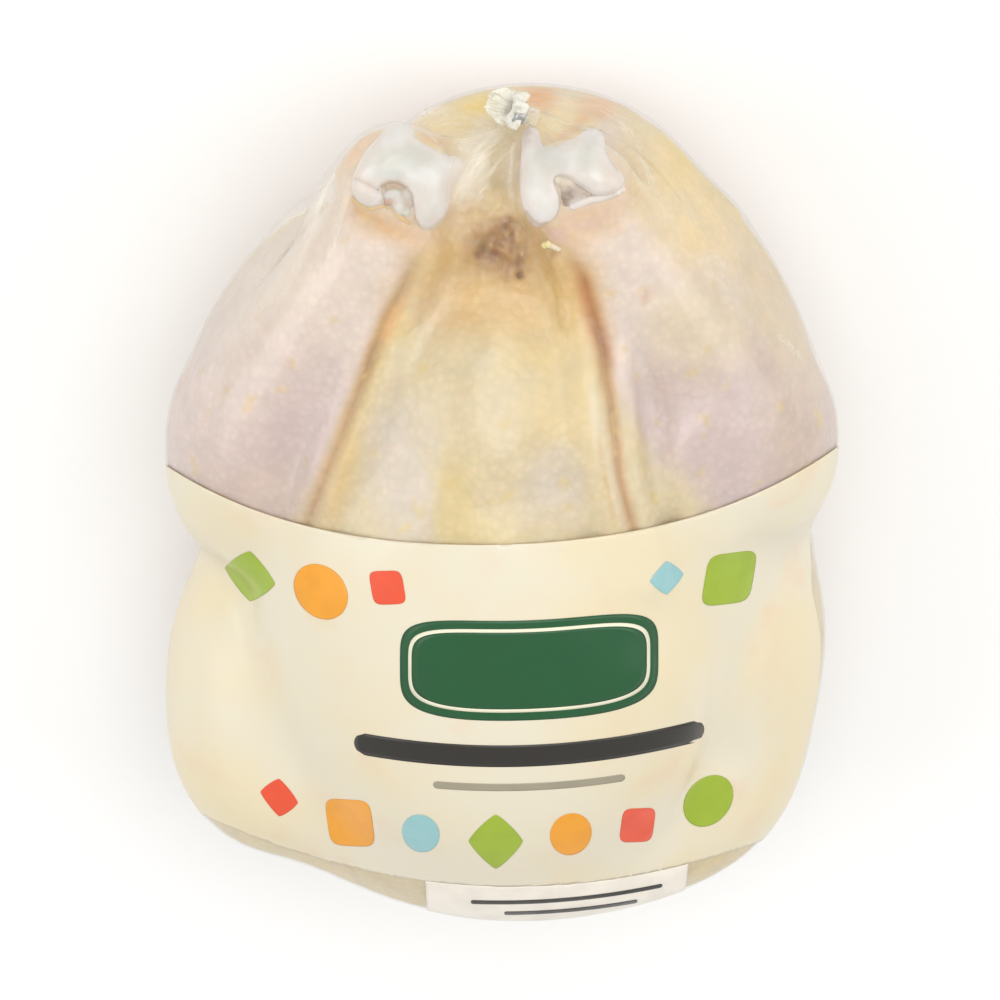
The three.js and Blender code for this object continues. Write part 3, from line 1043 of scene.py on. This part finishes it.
def node(tree, kind, **settings):
    added = tree.nodes.new("ShaderNode" + kind)
    for setting, value in settings.items():
        setattr(added, setting, value)
    return added


def objectPlace(tree):
    return node(tree, "TexCoord").outputs["Object"]


def attributeNode(tree, name, output="Fac"):
    return node(tree, "Attribute", attribute_name=name).outputs[output]


def cloudNode(tree, place, scale, detail=3):  # soft clouds from 0 to 1
    cloud = node(tree, "TexNoise")
    setSockets(cloud, {"Scale": scale, "Detail": detail})
    tree.links.new(place, cloud.inputs["Vector"])
    return cloud.outputs["Fac"]


def addBump(tree, height, strength, distance, *shaders):
    bump = node(tree, "Bump")
    setSockets(bump, {"Strength": strength, "Distance": distance})
    tree.links.new(height, bump.inputs["Height"])
    for shader in shaders:
        tree.links.new(bump.outputs["Normal"], shader.inputs["Normal"])


def mathNode(tree, operation, first, second=0.0, clamp=False):
    added = node(tree, "Math", operation=operation, use_clamp=clamp)
    for socket, value in zip(added.inputs, (first, second)):
        if isinstance(value, (int, float)):
            socket.default_value = value
        else:
            tree.links.new(value, socket)
    return added.outputs[0]


def remap(tree, value, fromLow, fromHigh, toLow, toHigh):
    added = node(tree, "MapRange", interpolation_type="SMOOTHSTEP")
    tree.links.new(value, added.inputs["Value"])
    setSockets(added, {"From Min": fromLow, "From Max": fromHigh, "To Min": toLow, "To Max": toHigh})
    return added.outputs["Result"]


def mixColour(tree, share, first, second, blend="MIX"):
    added = node(tree, "Mix", data_type="RGBA", blend_type=blend)
    for name, value in (("Factor", share), ("A", first), ("B", second)):
        socket = added.inputs[name]
        if isinstance(value, (int, float)):
            socket.default_value = value
        elif isinstance(value, tuple):
            socket.default_value = (*linear(*value), 1)
        else:
            tree.links.new(value, socket)
    return added.outputs["Result"]


def skinMaterial():
    material, tree, shader = newMaterial("rawSkin")
    place, tone = objectPlace(tree), attributeNode(tree, "skinTone", "Color")
    pores = node(tree, "TexVoronoi", feature="F1")
    pores.inputs["Scale"].default_value = 480
    tree.links.new(place, pores.inputs["Vector"])
    pores = pores.outputs["Distance"]
    mottle = cloudNode(tree, place, 160, 4)
    poreColour = mixColour(tree, 1.0, tone, remap(tree, pores, 0.0, 0.7, 1.025, 0.955), "MULTIPLY")
    skinColour = mixColour(tree, 1.0, poreColour, remap(tree, mottle, 0.3, 0.7, 0.96, 1.04), "MULTIPLY")
    tree.links.new(skinColour, shader.inputs["Base Color"])
    addBump(tree, mathNode(tree, "SUBTRACT", mottle, pores), 0.3, 0.0006, shader)
    return material


def cartilageMaterial():  # wet and white, a little grey and cream in places
    material, tree, shader = newMaterial("cartilage")
    cloud = cloudNode(tree, objectPlace(tree), 170)
    clouded = mixColour(tree, remap(tree, cloud, 0.35, 0.65, 0.0, 1.0), (252, 252, 254), (244, 240, 236))
    tone = mixColour(tree, 1.0, attributeNode(tree, "skinTone", "Color"), clouded, "MULTIPLY")
    tree.links.new(tone, shader.inputs["Base Color"])
    addBump(tree, cloud, 0.3, 0.0008, shader)
    return material


def filmMaterial():  # clear and glossy, milky where it is slack, folded or stretched white, with painted highlights along the drawn folds
    material, tree, shader = newMaterial("shrinkFilm")
    links = tree.links
    share = {name: attributeNode(tree, name) for name in filmShares}
    place = objectPlace(tree)
    crinkle = cloudNode(tree, place, 90)
    fromClip = node(tree, "VectorMath", operation="SUBTRACT")
    links.new(place, fromClip.inputs[0])
    fromClip.inputs[1].default_value = neckAt * mm
    direction = node(tree, "VectorMath", operation="NORMALIZE")
    links.new(fromClip.outputs[0], direction.inputs[0])
    fibres = remap(tree, cloudNode(tree, direction.outputs[0], 18, 2), 0.48, 0.7, 0.0, 1.0)
    drawn = mathNode(tree, "MULTIPLY", fibres, share["fan"])
    haze = remap(tree, share["slack"], 0.8, 8, 0.02, 0.07)
    # the streaks add milky white along the drawn folds, partly the film's own whitening and partly
    # painted highlights
    folds = mathNode(tree, "ADD", remap(tree, share["gathers"], 0.0, 0.5, 0.0, 0.07),
                     remap(tree, share["streaks"], 0.0, 1.0, 0.0, 0.26))
    fibrous = mathNode(tree, "ADD", folds, mathNode(tree, "MULTIPLY", drawn, 0.13))
    total = mathNode(tree, "ADD", mathNode(tree, "ADD", haze, fibrous), share["milk"], True)
    clear, gloss = node(tree, "BsdfTransparent"), node(tree, "BsdfGlossy")
    gloss.inputs["Roughness"].default_value = filmGloss
    relief = mathNode(tree, "ADD", crinkle, mathNode(tree, "MULTIPLY", drawn, 0.25))
    addBump(tree, relief, 0.3, 0.0008, shader, gloss)
    facing = node(tree, "LayerWeight")
    facing.inputs["Blend"].default_value = 0.5
    grazing = remap(tree, facing.outputs["Facing"], 0.2, 1.0, 0.03, 0.18)
    milky, glossy = node(tree, "MixShader"), node(tree, "MixShader")
    for mixer, amount, first, second in ((milky, total, clear, shader), (glossy, grazing, milky, gloss)):
        links.new(amount, mixer.inputs[0])
        links.new(first.outputs[0], mixer.inputs[1])
        links.new(second.outputs[0], mixer.inputs[2])
    links.new(glossy.outputs[0], tree.nodes["Material Output"].inputs["Surface"])
    return material


def tuftMaterial():  # many layers of film, so nearly white
    material, tree, shader = newMaterial("gatheredFilm")
    layers = remap(tree, cloudNode(tree, objectPlace(tree), 500), 0.35, 0.65, 0.55, 0.85)
    gathered = remap(tree, attributeNode(tree, "gathered"), 0.0, 1.0, 0.4, 1.0)
    tree.links.new(mathNode(tree, "MULTIPLY", layers, gathered), shader.inputs["Alpha"])
    return material


def clipMaterial():  # dull drawn aluminium
    material, tree, shader = newMaterial("clipAluminium")
    drawn = cloudNode(tree, objectPlace(tree), 900, 4)
    tree.links.new(remap(tree, drawn, 0.3, 0.7, 0.28, 0.5), shader.inputs["Roughness"])
    return material


def bandMaterial():  # cream ink clouded by the skin under it, with a thin brown line along the top edge: the ink's edge with painted shadow
    material, tree, shader = newMaterial("creamPrint")
    place = objectPlace(tree)
    wide, close = [cloudNode(tree, place, scale) for scale in (24, 52)]
    cream = mixColour(tree, remap(tree, wide, 0.38, 0.66, 0.0, 1.0), (238, 229, 206), (240, 226, 190))
    peachy = mixColour(tree, remap(tree, close, 0.55, 0.75, 0.0, 0.7), cream, (240, 216, 186))
    # painted shadow along the band's top edge, over the ink's own edge
    edge = remap(tree, attributeNode(tree, "fromEdge"), 0.06, 0.3, 0.9, 0.0)
    tree.links.new(mixColour(tree, edge, peachy, (196, 168, 128)), shader.inputs["Base Color"])
    addBump(tree, close, 0.25, 0.001, shader)
    return material


def inkMaterial(name, colour):  # a little uneven, as ink on film is
    material, tree, shader = newMaterial(name)
    cloud = cloudNode(tree, objectPlace(tree), 140)
    deeper = tuple(channel * 0.97 for channel in colour)
    uneven = mixColour(tree, remap(tree, cloud, 0.35, 0.65, 0.0, 1.0), colour, deeper)
    tree.links.new(uneven, shader.inputs["Base Color"])
    tree.links.new(remap(tree, cloud, 0.3, 0.7, 0.28, 0.4), shader.inputs["Roughness"])
    return material


skinSpots = {  # tone, strength, middle and size in the picture, turn
    "ventTan": ("tan", 0.8, (0, 58), (20, 13), 0),
    "breastTop": ("tan", 0.85, (-2, 49), (23, 10), 0),
    # painted light: lightens the skin to even out the shade in the valley at the top of the left crease
    "breastTopLeftLightened": ("peachWhite", 0.35, (-17, 46), (6, 8), -20),
    "breastTopRight": ("tan", 0.6, (14, 45), (9, 12), 0),
    "breastRight": ("yellow", 0.45, (14.5, 26), (9, 24), 0),
    "breastLilacLeft": ("lilacWhite", 0.75, (-23, 7), (9, 19), 12),
    "breastLilacRight": ("lilacWhite", 0.7, (13, 4), (8, 9), 0),
    "breastYellowLow": ("paleYellow", 0.7, (-10.5, -3), (5, 14), 4),
    "leftThighEdge": ("paleLeg", 0.6, (-60, 38), (12, 34), -28),
    "leftThighLow": ("tanLeg", 0.5, (-58, 0), (20, 9), 0),
    # painted shade: the right thigh darkens towards its silhouette
    "rightThighEdgeShade": ("tanLeg", 0.7, (72, 14), (9, 28), 14),
    "rightThighFat": ("deepYellow", 0.5, (46, 70), (11, 16), 30),
    "rightTopFat": ("deepYellow", 0.45, (39, 82), (8, 9), 0),
    "rightThighFatEdge": ("yellow", 0.5, (66, 47), (6, 20), 30),
    "rightThighCream": ("cream", 0.6, (50, 42), (14, 12), 0),
    "hollowLeft": ("tan", 0.7, (-8, 66), (9, 9), 0),
    "betweenHocks": ("paleYellow", 0.8, (-1, 82), (10, 11), 0),
    "leftCuff": ("peach", 0.75, (-26, 66), (11, 4.5), -22),
    "rightCuff": ("peach", 0.75, (21, 68), (12, 5.5), 18),
    "rightCuffPink": ("pink", 0.6, (24, 71), (8, 3.5), 18),
    "leftKnuckle": ("peachWhite", 0.9, (-22, 80), (17, 15), 0),
    "rightKnuckle": ("peachWhite", 0.9, (17, 80), (16, 15), 0),
    "aboveLeftWaist": ("fatYellow", 0.9, (-14, 88), (9, 6), -25),
    "aboveRightWaist": ("fatYellow", 0.9, (15, 90), (7, 6), 15),
    "leftOfHock": ("peach", 0.7, (-34, 86), (3.5, 8), -35),
    "besideRightHock": ("yellow", 0.6, (33, 82), (4, 12), 10),
    "redMark": ("redBrown", 0.35, (35, 48.5), (1.5, 1.5), 0),
}
tailSpots = [  # tone, strength, middle and size in the picture, turn
    ("deepYellow", 0.95, (-4, 95.5), (11, 5), 0), ("deepOrange", 0.9, (9.5, 97), (5, 5), 0),
    ("deepOrange", 0.6, (24, 94.5), (6, 3), 0),
]
tailReach = 12  # how far each of them runs back over the tail
skinStrokes = {  # tone, strength, half width, line in the picture; the crease, brown and red-brown lines along the creases are painted shade in the folds, over the warmer skin there
    "leftFold": ("yellow", 0.5, 3.0, [(-24, 47), (-31, 30), (-36.5, 13), (-42, -7)]),
    "leftCrease": ("crease", 0.72, 1.7, creases["left"]),
    "rightFoldGlow": ("tan", 0.6, 3.6, creases["right"][:6]),
    "rightCreaseDeep": ("redBrown", 0.8, 2.2, creases["right"][:7]),
    "rightCreaseLow": ("crease", 0.8, 1.5, creases["right"][5:]),
    "rightStrip": ("paleCream", 0.7, 1.3, [(22, 30), (24, 13), (28.5, -5)]),
    "rightSecondLine": ("tan", 0.6, 0.7, [(23.5, 16), (25, 7), (26.5, -0.5), (28, -6)]),
    "leftWaistEdge": ("fatOrange", 0.95, 1.4, [(-19.6, 89.4), (-17.8, 87.0), (-15.4, 86.0), (-12, 85)]),
    "rightWaistEdge": ("fatOrange", 0.95, 1.3,
                       [(12, 86.6), (15, 87.2), (17.6, 88.6), (19.6, 91.2), (21.5, 93.6)]),
    "leftCuffBand": ("peach", 0.9, 2.2, [(-35, 70), (-31, 68), (-28, 66), (-24, 64.4), (-20, 62.6)]),
    "leftCuffEdge": ("fatOrange", 0.7, 0.8,
                     [(-35.8, 72.4), (-34, 69.6), (-30, 67.6), (-27, 64.8), (-23, 63.2)]),
    "rightCuffBand": ("peach", 0.6, 1.8, [(17, 68), (21, 68.8), (25, 69.8), (30, 72.6)]),
    "rightCuffLow": ("pink", 0.6, 1.2, [(12, 63), (16, 66), (21, 66.4), (27, 69)]),
    "leftCreaseThin": ("brown", 0.15, 0.45, creases["left"][3:]),
    "rightCreaseThin": ("redBrown", 0.2, 0.5, creases["right"]),
    "leftCreaseGlow": ("orange", 0.75, 1.8, [(-24, 47.5), (-26.2, 43), (-28.4, 37.5)]),
    "leftFoldEdge": ("tan", 0.45, 2.6, [(-35, 18), (-38, 6), (-41, -6)]),
    "rightCreaseSpot": ("brown", 0.6, 1.2, [(22.2, 44.4), (23.8, 39.6), (25.0, 36.0), (25.4, 33)]),
}
ventSpots = [  # tone, strength, middle and size in the picture, turn; the darkest spots are dark tissue with painted shade in the pits and the hole, the palest are pale folds with painted light on them
    ("ventTan", 0.35, (2.5, 59.6), (12, 6.5), 0), ("ventBrown", 0.95, (-0.8, 61.0), (7.0, 6.0), 30),
    ("ventBrown", 0.85, (1.4, 65.2), (2.4, 3.4), -20), ("ventBrown", 0.85, (3.6, 56.4), (3.2, 3.4), -30),
    ("ventOlive", 0.7, (-4, 61.6), (2.2, 1.8), 0), ("ventRed", 0.85, (-1.9, 59.2), (1.7, 1.2), 0),
    ("ventDarkAndShade", 0.7, (-5.3, 58.6), (0.8, 1.3), 0), ("ventDarkAndShade", 0.7, (1.4, 66.4), (0.7, 1.5), -20),
    ("ventDarkAndShade", 0.6, (3.1, 63.2), (0.8, 1.6), -10), ("ventDarkAndShade", 0.6, (3.9, 57.2), (1.1, 1.8), 0),
    ("ventPaleAndLit", 0.8, (1.7, 63.9), (0.6, 1.2), 0), ("ventPaleAndLit", 0.9, (4.2, 63.4), (0.5, 1.7), 0),
    ("ventPaleAndLit", 0.6, (3.0, 55.0), (1.0, 1.5), 0), ("ventDarkAndShade", 0.9, vent["holeAt"], (1.0, 1.0), 0),
    ("pink", 0.9, (13.5, 63.4), (3.2, 1.5), -35), ("crease", 0.7, (13.1, 59.4), (1.0, 1.4), 0),
]


foldEnds = {  # where the folds would run on above the creases
    "left": [(-11.5, 68), (-15.5, 62.4)],
    "right": [(7.2, 66.8), (13, 63), (16, 60)],
}
skinLevel = 0.84  # the light brings the tones up again
skinNoise = {"big": 16, "small": 6, "fine": 2.4, "specks": 3.4, "wander": 2.2, "ragged": 0.7}
skinReach = {"back": (14, 46), "leg": (24, 32), "legEdge": (-0.5, 3.5), "knuckle": (13, 17),
             "specks": (45, 60)}  # where each colour starts and ends


def foldAcross(side, up):  # where the fold between leg and breast is at this height of the picture
    line = foldEnds[side] + creases[side]
    across, heights = np.array(line[::-1]).T
    return np.interp(up, heights, across)


def paintSkin():
    points, outward, facing = places(bird), normals(bird), facingEye(bird)
    height = points[:, 2]
    picture = picturePlace(points)[0]
    big = noiseAt(points, skinNoise["big"], 1)
    small, fine = noisesAt(points, skinNoise["small"], 2, 9), noisesAt(points, skinNoise["fine"], 3, 8)
    wander, ragged = picture + skinNoise["wander"] * small, picture + skinNoise["ragged"] * fine
    small = small[:, 0]
    colours = np.tile(tones["cream"], (len(points), 1))
    colours = tint(colours, "paleYellow", 0.5 * smoothStep(0.0, 0.6, big + 0.4 * small))
    colours = tint(colours, "back", 0.8 * (1 - smoothStep(*skinReach["back"], height)))
    for side, away in (("left", -1), ("right", 1)):
        near, along = lineDistance(points, shanks[side][:2])
        pastFold = (picture[:, 0] - foldAcross(side, picture[:, 1])) * away
        outside = smoothStep(*skinReach["legEdge"], pastFold + 0.6 * small)
        leg = (1 - smoothStep(*skinReach["leg"], near + 2 * big)) * outside
        colours = tint(colours, "lilac", leg)
        colours = tint(colours, "paleLeg", leg * smoothStep(0.3, 0.8, along + 0.1 * small))
    colours = tintSpots(colours, wander, skinSpots.values(), facing)
    skinTree = contentsTree([bird])
    for tone, strength, middle, size, turn in tailSpots:
        reach = np.linalg.norm(points - np.array(seenOn(skinTree, middle)), axis=1) / tailReach
        colours = tint(colours, tone, strength * spot(wander, middle, size, turn) * np.exp(-reach ** 2))
    for name in ("leftKnuckle", "rightKnuckle"):  # the back of each joint end is cartilage too
        near = np.linalg.norm(points - np.array(trunkEggs[name][0]), axis=1)
        hidden = 1 - smoothStep(0.1, 0.35, outward @ np.array(towardEye))
        back = smoothStep(0.2, 0.5, outward[:, 1]) * hidden
        colours = tint(colours, "bone", 0.9 * back * (1 - smoothStep(*skinReach["knuckle"], near)))
    # among the skin's own tones, the strokes lay painted shade along the creases between legs and breast
    for tone, strength, width, line in skinStrokes.values():
        near, along = strokeDistance(picture, line)
        fade = 0.35 + 0.65 * np.clip(np.sin(np.pi * along) * 1.6, 0, 1)
        colours = tint(colours, tone, strength * fade * np.exp(-(near / width) ** 2) * facing)
    colours = tintSpots(colours, ragged, ventSpots, facing)
    # painted shade in the troughs of the folds pressed into the vent, and painted light on their ridges
    folds = ventFolds(picture) * spot(ragged, vent["at"], vent["foldedWithin"]) * facing
    colours = tint(colours, "ventDarkAndShade", 0.4 * smoothStep(0.0, 0.6, folds))
    colours = tint(colours, "ventPaleAndLit", 0.4 * smoothStep(0.1, 0.6, -folds))
    specks = smoothStep(0.5, 0.62, noiseAt(points, skinNoise["specks"], 12))
    specks = specks * smoothStep(*skinReach["specks"], height)
    colours = tint(colours, "yellow", 0.5 * specks)
    paint(bird, "skinTone", colours * skinLevel)


paintSkin()
rawSkin = skinMaterial()
for piece in [bird] + tornPieces:
    piece.data.materials.append(rawSkin)
film.data.materials.append(filmMaterial())
tuft.data.materials.append(tuftMaterial())
clip = frame["nodes"]["bag_clip"]
clipAluminium = clipMaterial()
for slot in clip.material_slots:
    slot.material = clipAluminium
cartilage = cartilageMaterial()
for hock in hockEnds:
    hock.data.materials.append(cartilage)

printedBand.data.materials.append(bandMaterial())
endPanel.data.materials.append(inkMaterial("palePrint", (254, 245, 231)))
for ink, shape in printShapes.items():
    shape.data.materials.append(inkMaterial(ink + "Ink", inks[ink]))

for piece in visiblePieces:
    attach(piece, "root")
    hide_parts("bagged_chicken")


# floor, light and camera

def makeFloor():
    bpy.ops.mesh.primitive_plane_add(size=4, location=(0, 0, -0.0003))
    floor = named("floor")
    floor.data.materials.append(newMaterial("paleFloor")[0])


roomLight = 0.68
lampAim = (0, 0, 0.05)
lamps = {  # place and size in metres, watts
    "topSoft": ((0.1, 0.45, 1.05), 0.9, 4.7),
    "leftSoft": ((-0.9, 0.1, 0.7), 0.8, 2.8),
    "rightSoft": ((0.9, 0.2, 0.7), 0.8, 2.4),
}


def makeLight():
    for name, (place, size, watts) in lamps.items():
        bpy.ops.object.light_add(type="AREA", location=place)
        lamp = named(name)
        lamp.data.energy = watts
        lamp.data.shape = "DISK"
        lamp.data.size = size
        lamp.rotation_euler = (Vector(lampAim) - Vector(place)).to_track_quat("-Z", "Y").to_euler()
    world = bpy.data.worlds.new("softRoom")
    bpy.context.scene.world = world
    world.use_nodes = True
    setSockets(world.node_tree.nodes["Background"], {"Color": (1, 1, 1, 1), "Strength": roomLight})


def makeCamera():
    bpy.ops.object.camera_add(location=eye * mm, rotation=(-shot["tilt"], 0, 0))
    camera = named("camera")
    camera.data.lens = shot["lens"]
    camera.data.sensor_width = 36
    camera.data.clip_start = 0.05
    bpy.context.scene.camera = camera
    bpy.context.scene.view_settings.view_transform = "Standard"


makeFloor()
makeLight()
makeCamera()

print("done")
